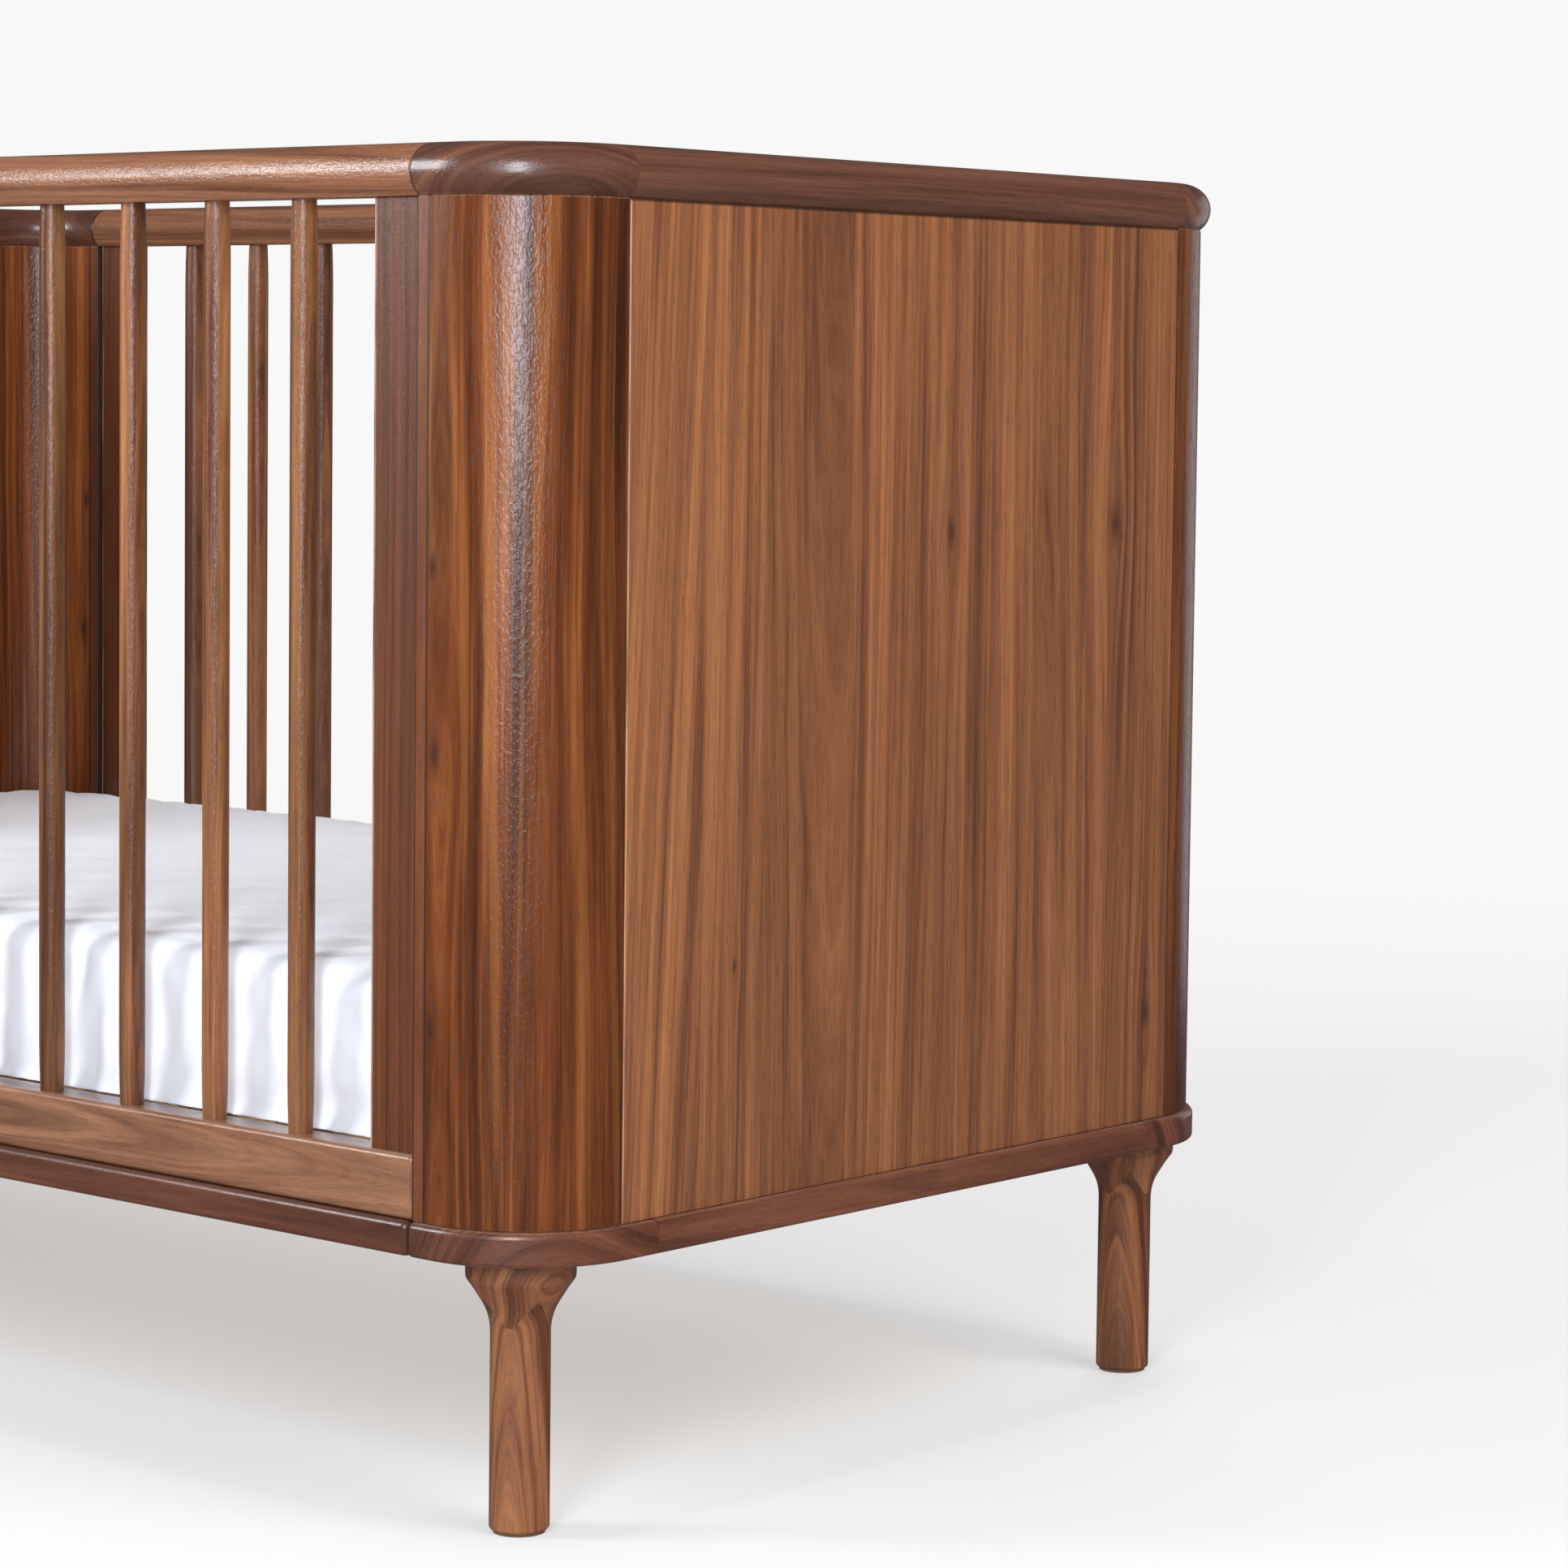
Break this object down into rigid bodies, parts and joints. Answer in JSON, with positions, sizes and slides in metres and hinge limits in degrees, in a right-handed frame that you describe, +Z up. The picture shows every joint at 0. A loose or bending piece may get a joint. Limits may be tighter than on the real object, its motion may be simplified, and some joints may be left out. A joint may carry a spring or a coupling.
{
  "type": "baby crib",
  "caption": "Baby crib with solid round-cornered ends on turned legs, spindle sides, slatted mattress support, mattress and fitted sheet.",
  "frame": {"origin": "on the floor at the centre of the crib's plan", "axes": "+X along the crib's length to the right end, +Y across it to the rear side, +Z up"},
  "size_m": [1.394, 0.77, 0.894],
  "materials": {
    "panel_walnut": "satin clear lacquer on walnut-coloured hardwood",
    "post_walnut": "satin clear lacquer on walnut-coloured hardwood",
    "strip_walnut": "satin clear lacquer on walnut-coloured hardwood",
    "cap_walnut": "satin clear lacquer on walnut-coloured hardwood",
    "base_walnut": "satin clear lacquer on walnut-coloured hardwood",
    "side_walnut": "satin clear lacquer on walnut-coloured hardwood",
    "spindle_walnut": "satin clear lacquer on walnut-coloured hardwood",
    "leg_walnut": "satin clear lacquer on walnut-coloured hardwood",
    "pine": "planed, unfinished",
    "glide_plastic": "matt",
    "bracket_steel": "black powder coat",
    "fixing_steel": "zinc plated",
    "mattress_cover": "plain woven cover",
    "sheet_cotton": "white cotton percale"
  },
  "bodies": {
    "crib_frame": {"base_corner_front_left": "base_walnut", "base_corner_front_right": "base_walnut", "base_corner_rear_left": "base_walnut", "base_corner_rear_right": "base_walnut", "base_rail_end_left": "base_walnut", "base_rail_end_right": "base_walnut", "bracket_screws": "fixing_steel", "corner_post_front_left": "post_walnut", "corner_post_front_right": "post_walnut", "corner_post_rear_left": "post_walnut", "corner_post_rear_right": "post_walnut", "corner_strip_front_left": "strip_walnut", "corner_strip_front_right": "strip_walnut", "corner_strip_rear_left": "strip_walnut", "corner_strip_rear_right": "strip_walnut", "dowels": "pine", "end_panel_left": "panel_walnut", "end_panel_right": "panel_walnut", "leg_cheeks_front_left": "leg_walnut", "leg_cheeks_front_right": "leg_walnut", "leg_cheeks_rear_left": "leg_walnut", "leg_cheeks_rear_right": "leg_walnut", "leg_front_left": "leg_walnut", "leg_front_right": "leg_walnut", "leg_glides": "glide_plastic", "leg_inserts": "fixing_steel", "leg_rear_left": "leg_walnut", "leg_rear_right": "leg_walnut", "leg_studs": "fixing_steel", "panel_inserts": "fixing_steel", "side_base_rail_front": "base_walnut", "side_base_rail_rear": "base_walnut", "side_bolts": "fixing_steel", "side_bottom_rail_front": "side_walnut", "side_bottom_rail_rear": "side_walnut", "side_inserts": "fixing_steel", "side_stile_front_left": "side_walnut", "side_stile_front_right": "side_walnut", "side_stile_rear_left": "side_walnut", "side_stile_rear_right": "side_walnut", "side_top_rail_front": "side_walnut", "side_top_rail_rear": "side_walnut", "spindles_front": "spindle_walnut", "spindles_rear": "spindle_walnut", "support_brackets": "bracket_steel", "top_rail_corner_front_left": "cap_walnut", "top_rail_corner_front_right": "cap_walnut", "top_rail_corner_rear_left": "cap_walnut", "top_rail_corner_rear_right": "cap_walnut", "top_rail_end_left": "cap_walnut", "top_rail_end_right": "cap_walnut"},
    "mattress_support": {"support_end_left": "pine", "support_end_right": "pine", "support_rail_front": "pine", "support_rail_middle": "pine", "support_rail_rear": "pine", "support_screws": "fixing_steel", "support_slats": "pine"},
    "bedding": {"mattress": "mattress_cover", "fitted_sheet": "sheet_cotton"}
  },
  "joints": [
    {"name": "support_height", "type": "slide", "parent": "crib_frame", "child": "mattress_support", "axis": [0, 0, 1], "range_m": [0, 0.24]},
    {"name": "mattress_lift", "type": "slide", "parent": "mattress_support", "child": "bedding", "axis": [0, 0, 1], "range_m": [0, 0.68]}
  ]
}
